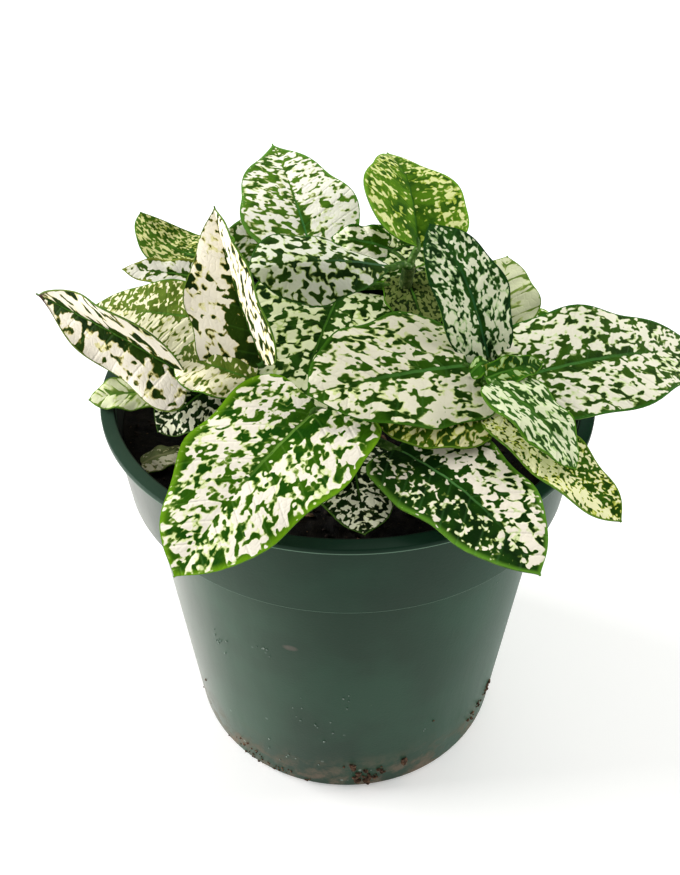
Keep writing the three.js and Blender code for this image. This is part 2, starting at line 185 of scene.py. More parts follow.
leafLooks = {
    'brightSplash': {
        'green': (0.032, 0.11, 0.0012), 'deep': (0.009, 0.062, 0.0008), 'cream': (0.72, 0.8, 0.38),
        'blush': (0.9, 0.85, 0.72), 'halo': (0.3, 0.42, 0.08), 'rib': (0.17, 0.34, 0.05),
        'rim': (0.13, 0.3, 0.006), 'patch': 2.6, 'stretch': 0.85, 'flow': 0.45, 'dot': 1.35, 'dots': 1.9,
        'ragged': 0.8, 'ribZone': 3.2, 'ribEnd': 0.62, 'ribLine': 0.34, 'rimZone': 2.2, 'rimHold': 1.1,
        'veinHold': 0,
    },
    'deepSplash': {
        'green': (0.009, 0.046, 0.0015), 'deep': (0.003, 0.02, 0.001), 'cream': (0.68, 0.77, 0.4),
        'blush': (0.88, 0.82, 0.68), 'halo': (0.2, 0.3, 0.05), 'rib': (0.1, 0.28, 0.07),
        'rim': (0.1, 0.26, 0.02), 'lean': -0.2, 'sideLean': -0.7, 'stretch': 1, 'flow': 0.3, 'dot': 1.3,
        'dots': 2.2, 'ribZone': 2.4, 'ribEnd': 0.8, 'rimZone': 1.6, 'rimHold': 1.2, 'veinHold': 0,
    },
    'creamSplash': {
        'green': (0.032, 0.095, 0.003), 'deep': (0.012, 0.042, 0.001), 'cream': (0.7, 0.82, 0.42),
        'blush': (0.9, 0.88, 0.7), 'halo': (0.28, 0.4, 0.09), 'rib': (0.06, 0.2, 0.035),
        'rim': (0.03, 0.13, 0.01), 'patch': 2.6, 'stretch': 0.75, 'flow': 0.35, 'dot': 1.4, 'dots': 1.7,
        'ribZone': 1.4, 'ribEnd': 0.8, 'ribLine': 0.4, 'rimZone': 0.9, 'veinHold': 0.2,
    },
    # painted light: a lighter copy of creamSplash, with more cream, for the hub leaf that the lamps leave
    # darker
    'hubSplash': {
        'green': (0.03, 0.1, 0.003), 'deep': (0.01, 0.042, 0.001), 'cream': (0.74, 0.82, 0.36),
        'blush': (0.92, 0.89, 0.68), 'halo': (0.28, 0.4, 0.09), 'rib': (0.075, 0.23, 0.04),
        'rim': (0.05, 0.16, 0.01), 'lean': 0.35, 'patch': 2.8, 'stretch': 0.7, 'flow': 0.35, 'dot': 1.4,
        'dots': 1.7, 'ribZone': 1.4, 'ribEnd': 0.8, 'ribLine': 0.4, 'rimZone': 1, 'veinHold': 0.2,
    },
    'greyVein': {
        'green': (0.02, 0.08, 0.006), 'deep': (0.005, 0.026, 0.003), 'cream': (0.5, 0.68, 0.3),
        'blush': (0.86, 0.9, 0.64), 'halo': (0.14, 0.27, 0.09), 'rib': (0.03, 0.13, 0.04),
        'rim': (0.01, 0.05, 0.01), 'lean': 0.12, 'tipLean': -0.6, 'blobs': 0.7, 'patch': 1.7,
        'stretch': 0.7, 'flow': 0.35, 'dot': 1.2, 'dots': 2.1, 'ribZone': 0.9, 'ribEnd': 0.9,
        # painted shade on the upper part, which bends back out of the light
        'rimZone': 0.8, 'veinHold': 0.5, 'tipPaintedShade': 0.45,
    },
    'greyStreak': {
        'green': (0.035, 0.12, 0.01), 'deep': (0.016, 0.06, 0.005), 'cream': (0.42, 0.6, 0.22),
        'blush': (0.74, 0.8, 0.52), 'halo': (0.16, 0.28, 0.08), 'lean': 0.25, 'patch': 2.2, 'stretch': 0.5,
        'flow': 0.15, 'dots': 1.8, 'ragged': 0.9, 'ribZone': 0.8, 'ribEnd': 0.9, 'veinHold': 0.2,
    },
    'youngGreen': {
        'green': (0.03, 0.12, 0.006), 'deep': (0.01, 0.05, 0.003), 'cream': (0.2, 0.36, 0.08),
        'blush': (0.38, 0.52, 0.22), 'lean': -0.6, 'patch': 1.1, 'stretch': 1.8, 'dot': 0.9, 'ribZone': 0.5,
        'rimZone': 0.4,
    },
    'yellowMottle': {
        'green': (0.05, 0.13, 0.004), 'deep': (0.018, 0.06, 0.002), 'cream': (0.58, 0.62, 0.14),
        'blush': (0.8, 0.77, 0.42), 'halo': (0.3, 0.32, 0.03), 'rim': (0.14, 0.26, 0.02), 'lean': -0.1,
        'patch': 1.4, 'stretch': 1.6, 'dot': 1.1, 'ribZone': 0.8, 'rimZone': 0.5, 'rimHold': 0.8,
    },
    'yellowHalf': {
        'green': (0.035, 0.11, 0.004), 'deep': (0.014, 0.055, 0.002), 'cream': (0.62, 0.68, 0.1),
        'blush': (0.88, 0.88, 0.5), 'halo': (0.34, 0.4, 0.04), 'rim': (0.14, 0.26, 0.02), 'lean': 0.1,
        'sideLean': 0.6, 'patch': 1.3, 'stretch': 0.8, 'flow': 0.2, 'dot': 0.9, 'dots': 2.2, 'soft': 1.8,
        'ribZone': 0.6, 'rimZone': 0.5, 'rimHold': 0.6, 'veinHold': 0.2,
    },
    # the bright greens are partly painted light: the leaf glows with light from behind, over its own dots
    'oliveDots': {
        'green': (0.08, 0.2, 0.004), 'deep': (0.02, 0.08, 0.001), 'cream': (0.42, 0.52, 0.07),
        'blush': (0.74, 0.78, 0.34), 'halo': (0.22, 0.35, 0.015), 'rib': (0.03, 0.12, 0.008),
        'rim': (0.16, 0.36, 0.02), 'lean': -0.15, 'tipLean': 0.2, 'blobs': 0.8, 'patch': 1.7, 'stretch': 1,
        'dot': 1.4, 'dots': 2.2, 'soft': 3.5, 'ribZone': 5, 'ribEnd': 1, 'ribHold': 1.2, 'rimZone': 1.4,
        'rimHold': 0.4, 'veinHold': 0,
    },
    # the bright greens are partly painted light: the leaf glows with light from behind, over its own flecks
    'fineFleck': {
        'green': (0.075, 0.18, 0.01), 'deep': (0.03, 0.09, 0.005), 'cream': (0.72, 0.79, 0.46),
        'blush': (0.9, 0.89, 0.77), 'halo': (0.4, 0.44, 0.12), 'rib': (0.05, 0.2, 0.05),
        'rim': (0.1, 0.26, 0.03), 'sideLean': 0.35, 'tipLean': -0.5, 'patch': 2.1, 'dot': 1.2, 'dots': 1.8,
        'soft': 1.8, 'ribZone': 1, 'ribEnd': 0.5, 'rimZone': 1.6, 'rimHold': 1,
    },
    'tealStreak': {
        'green': (0.02, 0.06, 0.005), 'deep': (0.007, 0.025, 0.003), 'cream': (0.56, 0.69, 0.3),
        'blush': (0.78, 0.8, 0.66), 'halo': (0.24, 0.33, 0.07), 'rib': (0.06, 0.15, 0.07),
        'rim': (0.04, 0.12, 0.02), 'patch': 2.3, 'stretch': 0.9, 'flow': 0.2, 'ribZone': 1, 'ribEnd': 0.6,
        'veinHold': 0,
    },
    'creamSpot': {
        'green': (0.018, 0.045, 0.002), 'deep': (0.006, 0.02, 0.001), 'cream': (0.76, 0.72, 0.36),
        'blush': (0.88, 0.82, 0.66), 'halo': (0.3, 0.26, 0.04), 'rim': (0.16, 0.26, 0.03), 'lean': 0.6,
        'sideLean': -0.25, 'patch': 2.2, 'stretch': 1, 'dot': 2.1, 'dots': 3.6, 'pick': 0.15, 'ragged': 1.2,
        'ribZone': 3.5, 'ribEnd': 0.7, 'ribSide': -0.8, 'rimZone': 0.35, 'rimHold': 3, 'veinHold': 0,
    },
    'creamBlotch': {
        'green': (0.018, 0.048, 0.002), 'deep': (0.006, 0.022, 0.001), 'cream': (0.74, 0.69, 0.34),
        'blush': (0.88, 0.82, 0.68), 'halo': (0.3, 0.26, 0.05), 'rim': (0.2, 0.28, 0.05), 'lean': 0.9,
        'patch': 2.8, 'stretch': 1, 'dot': 2.4, 'dots': 2.2, 'ragged': 1.3, 'ribZone': 1.7, 'ribEnd': 1.6,
        'ribHold': 2.2, 'rimZone': 0.35, 'rimHold': 2.6, 'veinHold': 0, 'burn': 1,
    },
    'greyCream': {
        'green': (0.03, 0.08, 0.006), 'cream': (0.58, 0.62, 0.36), 'blush': (0.8, 0.78, 0.66),
        'rim': (0.2, 0.24, 0.03), 'lean': 0.9, 'dot': 1.3, 'ribZone': 0.7, 'rimZone': 0.9, 'rimHold': 1.4,
    },
    # painted shade: very dark greens for low leaves in the shade under the others
    'shadeSpot': {
        'green': (0.007, 0.026, 0.003), 'deep': (0.003, 0.01, 0.002), 'cream': (0.7, 0.74, 0.45),
        'blush': (0.95, 0.95, 0.72), 'halo': (0.08, 0.1, 0.03), 'rim': (0.08, 0.16, 0.03), 'lean': 0,
        'patch': 1.3, 'stretch': 1.1, 'ribZone': 0.8, 'rimZone': 0.5,
    },
    'oliveCream': {
        'green': (0.12, 0.19, 0.02), 'deep': (0.07, 0.12, 0.01), 'cream': (0.62, 0.62, 0.24),
        'blush': (0.9, 0.86, 0.6), 'halo': (0.34, 0.34, 0.08), 'sideLean': -0.9, 'patch': 1.2,
        'stretch': 1.4, 'dot': 1.1, 'dots': 2.4, 'soft': 2, 'ribZone': 0.8, 'rimZone': 0.5, 'rimHold': 0.8,
    },
    # painted shade: dark greens and creams for a leaf in deep shade behind the hub
    'paintedShadeMottle': {
        'green': (0.015, 0.035, 0.004), 'deep': (0.008, 0.018, 0.003), 'cream': (0.1, 0.15, 0.03),
        'blush': (0.16, 0.2, 0.055), 'halo': (0.06, 0.08, 0.015), 'lean': 0.3, 'patch': 1.2, 'stretch': 0.8,
        'flow': 0.3, 'dot': 1.2, 'dots': 2.4, 'ribZone': 0.6, 'rimZone': 0.5,
    },
    'greenMottle': {
        'green': (0.06, 0.15, 0.008), 'deep': (0.02, 0.07, 0.003), 'cream': (0.36, 0.42, 0.07),
        'blush': (0.72, 0.72, 0.32), 'halo': (0.26, 0.32, 0.05), 'lean': -0.2, 'patch': 1.5, 'stretch': 0.5,
        'flow': 0.2, 'dot': 1.1, 'dots': 2, 'soft': 4.5, 'ribZone': 0.5, 'rimZone': 0.4,
    },
    # the pale greens and creams are partly painted light: the leaf glows with light from behind
    'paleVein': {
        'green': (0.2, 0.32, 0.05), 'deep': (0.08, 0.18, 0.02), 'cream': (0.58, 0.68, 0.26),
        'blush': (0.78, 0.82, 0.52), 'halo': (0.44, 0.5, 0.16), 'rim': (0.16, 0.3, 0.04), 'lean': 0.9,
        'stretch': 2, 'flow': 1, 'ribZone': 0.6, 'rimZone': 0.6, 'veinHold': 1.6,
    },
    'mixedGreen': {
        'green': (0.02, 0.075, 0.004), 'deep': (0.005, 0.025, 0.001), 'cream': (0.6, 0.72, 0.26),
        'blush': (0.88, 0.92, 0.6), 'halo': (0.14, 0.24, 0.04), 'lean': 0.15, 'patch': 2.2, 'stretch': 1,
        'flow': 0.3, 'ribZone': 1.4, 'veinHold': 0.5,
    },
}
underLook = {'pale': (0.4, 0.5, 0.22), 'share': 0.5}
burnt = (0.05, 0.018, 0.012)
leafSkin = {    # sizes and depth in millimetres, then shares
    'fine': 0.6, 'broad': 6, 'net': 1.4, 'depth': 0.2, 'gloss': 0.03, 'veinTint': 0.14, 'haloTint': 0.7,
    'ribTint': 0.8, 'lineHold': 3,
}
stemSkin = {'broad': 2.6, 'fine': 0.45, 'freckleGap': 1.2, 'depth': 0.12}    # millimetres
noiseMean, noiseSpread = 0.5, 0.115    # of the noise pattern, to set lean in even steps


def leafPaint(name, given, under=False):
    look, skin = {**lookDefaults, **given}, leafSkin
    paint = Paint(name, **{'Specular IOR Level': skin['gloss']})
    blade = paint.uvMap('leafLength')
    along, across, _ = paint.split(blade)
    share, toRim, _ = paint.split(paint.uvMap('leafShare'))
    side = abs(across)
    half = paint.rise(across, -1, 1) * 2 - 1    # 1 at the right, -1 at the left
    bent = paint.join(along - side * (bladeRelief['slant'] * look['flow']), across / look['stretch'])
    fine = paint.noise(blade, skin['fine'], 2, 0.6, flat=True)
    broad = paint.noise(blade, skin['broad'], 2, flat=True)

    blobs = (paint.noise(bent, look['patch'], 1.3, 0.5, 0.4, True) - noiseMean) / noiseSpread
    spot = 1 - paint.rise(paint.cells(bent, look['dot']), 0.1, 0.55)
    sign = paint.split(paint.cells(bent, look['dot'], output='Color'))[0] * 2 - (1 - look['pick'])
    total = blobs * look['blobs'] + spot * sign * look['dots'] + (fine - noiseMean) * look['ragged']
    total = total + look['lean'] + half * look['sideLean'] + (share - 0.5) * (2 * look['tipLean'])

    ribFade = paint.rise(share / look['ribEnd'], 1, 0.35)
    ribNear = (1 - paint.rise(side / (ribFade * look['ribZone'] + 0.2), 0.3, 1.7)) * (0.4 + ribFade * 0.6)
    rimNear = 1 - paint.rise(toRim, look['rimZone'] * 0.2, look['rimZone'] * 1.3)
    ribLine = (1 - paint.rise(side, look['ribLine'] * 0.5, look['ribLine'] * 1.3)) * ribFade
    rimLine = 1 - paint.rise(toRim, 0.1, 0.35)
    vein = (along - side * bladeRelief['slant']) / bladeRelief['veinSpacing']
    veinLine = paint.rise(abs(vein.maths('FRACT') - 0.5), 0.41, 0.5)
    held = ribNear * (half * look['ribSide'] + 1) * look['ribHold'] + rimNear * look['rimHold']
    held = held + (ribLine + rimLine) * skin['lineHold'] + veinLine * look['veinHold']
    total = total - held
    patchy = paint.rise(total, -0.16 * look['soft'], 0.14 * look['soft'])
    halo = paint.rise(total, -0.6, -0.05)

    green = paint.tint(paint.rise(broad, 0.35, 0.62), look['deep'], look['green'])
    green = paint.tint(paint.rise(toRim, look['rimZone'], 0.1), green, look['rim'])
    green = paint.tint(veinLine * skin['veinTint'], green, look['rib'])
    cream = paint.tint(paint.rise(total + (broad - noiseMean) * 2, 0, 0.6), look['cream'], look['blush'])
    colour = paint.tint(halo * skin['haloTint'], green, look['halo'])
    colour = paint.tint(patchy, colour, cream)
    colour = paint.tint(ribLine * skin['ribTint'], colour, look['rib'])
    # painted shade towards the tip
    if look['tipPaintedShade']:
        colour = paint.tint(paint.rise(share, 0.55, 0.95) * look['tipPaintedShade'], colour, look['deep'])
    if look['burn']:
        atTip = paint.rise(share, 0.8, 0.95) * (1 - paint.rise(toRim, 0.3, 1.1))
        colour = paint.tint(atTip * look['burn'], colour, burnt)
    if under:
        colour = paint.tint(underLook['share'], colour, underLook['pale'])
    paint.feed('Base Color', colour)
    paint.feed('Roughness', fine * 0.2 + (look['roughness'] - 0.1))
    net = paint.rise(paint.cells(blade, skin['net'], 'DISTANCE_TO_EDGE'), 0, 0.22)
    paint.bump(net * 0.22 - veinLine * 0.6 - ribLine * 0.5 + fine * 0.25, skin['depth'] * mm, 0.7)
    return paint.material


def plainPaint(name, first, second, grain, roughness, depth=0.1 * mm):    # two tones in small clouds
    paint = Paint(name, **{'Specular IOR Level': 0.15})
    place = paint.objectPlace()
    speckle = paint.noise(place, grain, 4.0, 0.6)
    paint.feed('Base Color', paint.tint(paint.rise(speckle, 0.35, 0.65), first, second))
    paint.feed('Roughness', speckle * 0.2 + (roughness - 0.1))
    paint.bump(speckle, depth)
    return paint.material


def skinPaint(name, dark, light, freckle, roughness):    # stems: soft streaks and pale freckles
    skin, paint = stemSkin, Paint(name, **{'Specular IOR Level': 0.1})
    place = paint.objectPlace()
    broad = paint.noise(place, skin['broad'] * mm, 4.0, 0.6)
    fine = paint.noise(place, skin['fine'] * mm, 2.0, 0.6)
    spot = 1 - paint.rise(paint.cells(place, skin['freckleGap'] * mm, flat=False), 0.15, 0.4)
    freckled = spot * paint.rise(broad, 0.42, 0.58)
    colour = paint.tint(paint.rise(broad + (fine - noiseMean) * 0.3, 0.36, 0.64), dark, light)
    paint.feed('Base Color', paint.tint(freckled * 0.7, colour, freckle))
    paint.feed('Roughness', fine * 0.2 + (roughness - 0.1))
    paint.bump(fine + broad, skin['depth'] * mm, 0.8)
    return paint.material


# Blades: a grid whose points are set by the same formula as the solids
bladeGrid = {'rows': 48, 'columns': 28, 'thickness': 0.35, 'tipHalf': 0.15, 'point': 0.05, 'slope': 0.02}
bladeWaves = {'power': 3, 'lobePower': 4, 'leafPhase': 1.7, 'halfPhase': 1.9, 'bulgePhase': 1.1}
patternStep = 60    # millimetres between the patterns of two leaves
leafDefaults = {    # millimetres and degrees, or shares of the length and of the half width
    'face': (0, 0, 1), 'width': 28, 'arch': 4, 'peak': 0.5, 'sway': 0, 'twist': 0,    # midrib and turn
    'fold': 6, 'curl': -0.06, 'wave': 0.7, 'waves': 2.5, 'bulge': 0.05,    # halves and margin
    'belly': 0.32, 'taper': 0.55, 'lobe': 0.25, 'skew': 0,    # outline: widest place, fullness, foot
    'at': 0.9,    # where the stalk leaves the stem
}


def leaf(start, tip, look, **given):
    return {**leafDefaults, 'from': start, 'to': tip, 'look': look, **given}


class Blade:    # u runs from foot to tip, v from margin to margin, -1 to 1
    def __init__(self, leaf, phase):
        self.leaf, self.phase = leaf, phase
        self.start = Vector(leaf['from'])
        self.along = Vector(leaf['to']) - self.start
        self.chord = self.along.length
        self.along.normalize()
        face = Vector(leaf['face'])
        self.face = (face - self.along * face.dot(self.along)).normalized()
        self.side = self.along.cross(self.face)

    def rib(self, u):    # a point of the midrib
        leaf = self.leaf
        rise = math.sin(math.pi * u ** (math.log(0.5) / math.log(leaf['peak'])))
        return (self.start + self.along * self.chord * u + self.face * leaf['arch'] * rise
                + self.side * leaf['sway'] * math.sin(math.pi * u))

    def half(self, u):    # half the width
        leaf = self.leaf
        rootPower = leaf['taper'] * leaf['belly'] / (1 - leaf['belly'])
        swell = (u / leaf['belly']) ** rootPower * ((1 - u) / (1 - leaf['belly'])) ** leaf['taper']
        pointed = 1 - math.exp((u - 1) / bladeGrid['point'])
        return max(bladeGrid['tipHalf'], leaf['width'] / 2 * swell * pointed)

    def axes(self, u):    # along, up and across at the midrib
        slope = bladeGrid['slope']
        inner = min(max(u, slope), 1 - slope)
        tangent = (self.rib(inner + slope) - self.rib(inner - slope)).normalized()
        lift = self.side.cross(tangent).normalized()
        lift = Matrix.Rotation(math.radians(self.leaf['twist'] * (u - 0.5)), 3, tangent) @ lift
        return tangent, lift, tangent.cross(lift)

    def point(self, u, v):
        leaf = self.leaf
        tangent, lift, across = self.axes(u)
        fold = math.radians(leaf['fold'])
        turn = 2 * math.pi * leaf['waves'] * u + self.phase + (bladeWaves['halfPhase'] if v < 0 else 0)
        calm = math.sin(math.pi * u)
        ripple = leaf['wave'] * calm * abs(v) ** bladeWaves['power'] * math.sin(turn)
        half = self.half(u) * (1 + leaf['bulge'] * calm * math.sin(turn + bladeWaves['bulgePhase']))
        raised = abs(v) * half * math.sin(fold) + leaf['curl'] * half * v * v + ripple
        ahead = half * (leaf['skew'] * v - leaf['lobe'] * abs(v) * (1 - u) ** bladeWaves['lobePower'])
        raised += self.relief(u, v, half)
        return self.rib(u) + across * (v * half * math.cos(fold)) + tangent * ahead + lift * raised

    def relief(self, u, v, half):    # quilting between the side veins, groove over the midrib
        relief = bladeRelief
        side = abs(v) * half
        vein = (u * self.chord - side * relief['slant']) / relief['veinSpacing']
        quilt = relief['quilt'] * math.sin(math.pi * vein) ** 2 * (1 - v ** 4) * math.sin(math.pi * u) ** 0.5
        groove = relief['groove'] * math.exp(-(side / relief['grooveWidth']) ** 2) * (1 - u)
        return quilt * min(1, half / relief['fullHalf']) - groove


smoothAngle = 50


def nameAndSmooth(piece, name):
    piece.name = name
    bpy.ops.object.select_all(action='DESELECT')
    piece.select_set(True)
    bpy.context.view_layer.objects.active = piece
    bpy.ops.object.shade_smooth_by_angle(angle=math.radians(smoothAngle))
    return piece


def growBlade(shape, materials, seed):
    rows, columns = bladeGrid['rows'], bladeGrid['columns']
    bpy.ops.object.select_all(action='DESELECT')
    bpy.ops.mesh.primitive_grid_add(x_subdivisions=columns, y_subdivisions=rows, size=2)
    piece = bpy.context.object
    mesh = piece.data
    shares = []
    for vertex in mesh.vertices:
        v = vertex.co.x
        u = 0.5 - 0.5 * math.cos(math.pi * (vertex.co.y + 1) / 2)
        shares.append((u, v, shape.half(u)))
        vertex.co = shape.point(u, v) * mm
    mesh.uv_layers[0].name = 'leafLength'
    mesh.uv_layers.new(name='leafShare')
    for loop in mesh.loops:
        u, v, half = shares[loop.vertex_index]
        mesh.uv_layers['leafLength'].data[loop.index].uv = (u * shape.chord + patternStep * seed, v * half)
        mesh.uv_layers['leafShare'].data[loop.index].uv = (u, min((1 - abs(v)) * half, (1 - u) * shape.chord))
    for material in materials:
        mesh.materials.append(material)
    bpy.ops.object.modifier_add(type='SOLIDIFY')
    wall = piece.modifiers[-1]
    wall.thickness = bladeGrid['thickness'] * mm
    wall.offset = 0
    wall.material_offset, wall.material_offset_rim = 1, 2
    bpy.ops.object.modifier_apply(modifier=wall.name)
    return piece


def growRod(knots, material, rounding):    # knots: (place, radius) in millimetres
    bpy.ops.object.select_all(action='DESELECT')
    bpy.ops.curve.primitive_bezier_curve_add()
    rod = bpy.context.object
    spline = rod.data.splines[0]
    spline.bezier_points.add(len(knots) - 2)
    for bend, (place, radius) in zip(spline.bezier_points, knots):
        bend.co = Vector(place) * mm
        bend.radius = radius
        bend.handle_left_type = bend.handle_right_type = 'AUTO'
    rod.data.bevel_depth = mm
    rod.data.bevel_resolution = rounding
    rod.data.resolution_u = rodSteps
    rod.data.use_fill_caps = True
    bpy.ops.object.convert(target='MESH')
    rod = bpy.context.object
    rod.data.materials.clear()
    rod.data.materials.append(material)
    return rod


def joinAs(name, pieces):
    bpy.ops.object.select_all(action='DESELECT')
    for piece in pieces:
        piece.select_set(True)
    bpy.context.view_layer.objects.active = pieces[0]
    bpy.ops.object.join()
    joined = bpy.context.object
    bpy.ops.object.transform_apply(location=True, rotation=True, scale=True)
    return nameAndSmooth(joined, name)


# Leafy stems. Each leaf: foot, tip and look, then the values that differ from leafDefaults
plantStems = {
    'right_stem': {'root': (22, -5), 'top': (28, -21, 117), 'radius': 1.9, 'leaves': [
        leaf((25, -19, 120), (-8, -30, 120), 'hubSplash', face=(0, -0.7, 1), width=26, arch=2, skew=0.35,
             at=1),
        leaf((34, -21, 118), (81, -1, 112), 'creamSplash', face=(0, -0.4, 1), width=28, arch=3, taper=0.7,
             at=1),
        leaf((30, -16, 119), (17, 1, 142), 'greyVein', face=(0.2, -1, 0.8), width=15.5, arch=6.5, peak=0.55,
             belly=0.4, at=1),
        leaf((30, -27, 121), (44, -43, 112), 'greyStreak', face=(0.3, -0.2, 1), width=15, arch=2, at=1),
        leaf((31, -25, 113), (52, -51, 106), 'yellowHalf', face=(0.2, -0.4, 1), width=14, arch=2, fold=14,
             sway=1.2, taper=0.36, at=0.8),
        leaf((28, -25, 121), (40, -21, 122), 'youngGreen', face=(0, -0.6, 1), width=6, arch=1, at=1),
        leaf((28, -28, 113.7), (6, -31, 113.2), 'yellowMottle', face=(0, -0.3, 1), width=16, arch=0.5,
             wave=0.3, at=0.7),
        leaf((25, -22, 120), (30, -21, 121), 'youngGreen', face=(0, -0.5, 1), width=4.5, arch=3, fold=-20,
             wave=0.2, at=1),
    ]},
    'front_stem': {'root': (-1, -14), 'top': (0, -28, 108), 'radius': 1.8, 'leaves': [
        leaf((-6, -27, 114.5), (-31, -64, 104), 'brightSplash', face=(0, -0.2, 1), width=33, arch=3,
             belly=0.25, taper=0.5, lobe=0.35, at=1),
        leaf((10.5, -31, 107.2), (35, -63, 104), 'deepSplash', face=(0, -0.2, 1), width=25, arch=2, fold=10,
             sway=-1.5, at=1),
        leaf((1, -28, 104), (3.5, -51.5, 102.5), 'shadeSpot', width=18, arch=0.5, at=0.5),
    ]},
    'back_stem': {'root': (12, 22), 'top': (14, 11, 127), 'radius': 1.8, 'leaves': [
        leaf((16, 13, 131), (10, 54, 137), 'oliveDots', face=(0.4, -0.6, 1), width=27, fold=16, wave=0.4,
             belly=0.28, taper=1.4, at=1),
        leaf((10, 7, 129), (-22, 1, 131), 'tealStreak', face=(0, -0.7, 1), width=19, arch=3.5, fold=-22,
             belly=0.65, skew=0.25, twist=-25, at=1),
        leaf((9, 14, 130), (-4, 17, 131), 'creamSplash', face=(0, -0.6, 1), width=9, arch=1, at=1),
        leaf((-2, 13, 119), (-12, -24, 109), 'mixedGreen', face=(0, -0.6, 1), width=38, arch=2, at=0.7),
        # a leaf in the shade behind the hub, painted dark
        leaf((14, 17, 121), (18, -1, 115), 'paintedShadeMottle', face=(0, -0.6, 1), width=14, arch=1, at=0.6),
    ]},
    'left_stem': {'root': (-22, -4), 'top': (-25, -12, 115), 'radius': 1.8, 'leaves': [
        leaf((-18, -15, 117.5), (-28.5, 5, 144), 'creamSpot', face=(-0.6, -0.75, 0.27), width=27, arch=1,
             fold=32, belly=0.27, taper=0.85, at=1),
        leaf((-35, -14, 113.5), (-72, 8, 121), 'creamBlotch', face=(-0.46, -0.87, 0.22), width=20, arch=1,
             fold=34, wave=1.8, waves=1.6, sway=1.5, belly=0.28, taper=0.95, skew=0.5, at=1),
        leaf((-20, -17.5, 114.8), (-38, -10, 115), 'oliveCream', face=(-0.1, -0.5, 0.9), width=14, arch=2,
             belly=0.45, at=1),
        leaf((-31, -11, 108), (-42, -18, 101), 'shadeSpot', face=(0, -0.5, 1), width=14, arch=1, at=0.5),
        leaf((-44, -9, 105.3), (-58, -12, 105.3), 'paleVein', face=(0, -0.3, 1), width=10, arch=1, at=0.4),
    ]},
    'left_back_stem': {'root': (-24, 18), 'top': (-28, 19, 118), 'radius': 1.8, 'leaves': [
        leaf((-30, 22, 124), (-51.5, 34, 129.5), 'greenMottle', face=(-0.3, -0.7, 0.6), width=13.5, arch=-2,
             fold=-15, sway=-4, belly=0.4, taper=0.5, skew=-0.6, at=1),
        leaf((-34, 19, 119.4), (-55, 22, 120), 'greyCream', face=(-0.1, -0.5, 0.9), width=8, arch=0.5),
        leaf((-29, 3, 117), (-62, 15, 113.5), 'oliveCream', face=(-0.3, -0.6, 0.8), width=20, arch=1,
             fold=-15, belly=0.4, skew=-0.3, at=0.8),
        leaf((-31, 28, 108), (-49, 42, 103), 'deepSplash', face=(0, 0.1, 1), width=22, arch=3, at=0.5),
        leaf((-9, 25, 124), (-21, 68, 134), 'fineFleck', face=(0, -0.4, 1), width=29, arch=3, belly=0.28,
             taper=1.15, skew=-0.15, at=1),
    ]},
    'right_back_stem': {'root': (31, 18), 'top': (34, 20, 110), 'radius': 1.8, 'leaves': [
        leaf((35, 10, 110), (39, 26, 122), 'paleVein', face=(0, -1, 0.9), width=19, arch=2, taper=0.8, at=1),
        leaf((42, 17, 108), (60, 13, 106.5), 'brightSplash', face=(0, 0.1, 1), width=16, arch=1),
        leaf((33, 28, 108), (26, 65, 100), 'creamSplash', face=(0, 0.2, 1), width=24, arch=4, at=0.8),
        leaf((39, 25, 108), (45, 38, 105), 'mixedGreen', face=(0, 0.1, 1), width=13, arch=1),
    ]},
    'rear_stem': {'root': (-4, 36), 'top': (-3, 42, 110), 'radius': 1.8, 'leaves': [
        leaf((2, 46, 110), (9, 75, 101), 'deepSplash', face=(0, 0.2, 1), width=26, arch=4, at=1),
        leaf((-12, 42, 111), (-40, 52, 104), 'brightSplash', face=(0, 0.2, 1), width=26, arch=4, at=1),
        leaf((-6, 48, 113), (-20, 74, 112), 'creamSplash', width=24, arch=4, at=1),
        leaf((4, 41, 112), (25, 50, 115.5), 'mixedGreen', face=(0, -0.5, 1), width=18, arch=1.5, at=1),
        leaf((-9, 34, 116), (-31, 35, 124), 'fineFleck', face=(0.3, -0.6, 1), width=20, arch=1, at=1),
    ]},
}
soilLevel, soilBump = 96, 0.7    # millimetres
stemShape = {'depth': 12, 'bow': 2, 'topShare': 0.85, 'middleShare': 1.1, 'rounding': 4}
petiole = {
    'rise': 0.08, 'footRadius': 1, 'bendRadius': 0.85, 'fullWidth': 16, 'rounding': 2,
    'ribKnots': (    # place along the blade, radius, share of the radius below the blade
        (0, 0.85, 0.65), (0.1, 0.75, 1.3), (0.35, 0.6, 0.9), (0.65, 0.42, 0.9), (0.95, 0.2, 0.9),
    ),
}
rodSteps = 6    # along each part of a rod
patternCount = 97    # patterns to choose from

upperPaints = {name: leafPaint('leaf_' + name, look) for name, look in leafLooks.items()}
underPaints = {name: leafPaint('under_' + name, look, True) for name, look in leafLooks.items()}
rimPaint = plainPaint('leaf_rim', (0.03, 0.1, 0.005), (0.1, 0.22, 0.015), 2 * mm, 0.6)
stalkPaint = skinPaint('stalk', (0.022, 0.08, 0.006), (0.08, 0.18, 0.025), (0.3, 0.4, 0.17), 0.6)
stemPaint = skinPaint('stem', (0.02, 0.05, 0.008), (0.08, 0.12, 0.03), (0.2, 0.22, 0.1), 0.7)
print('leaf materials made')


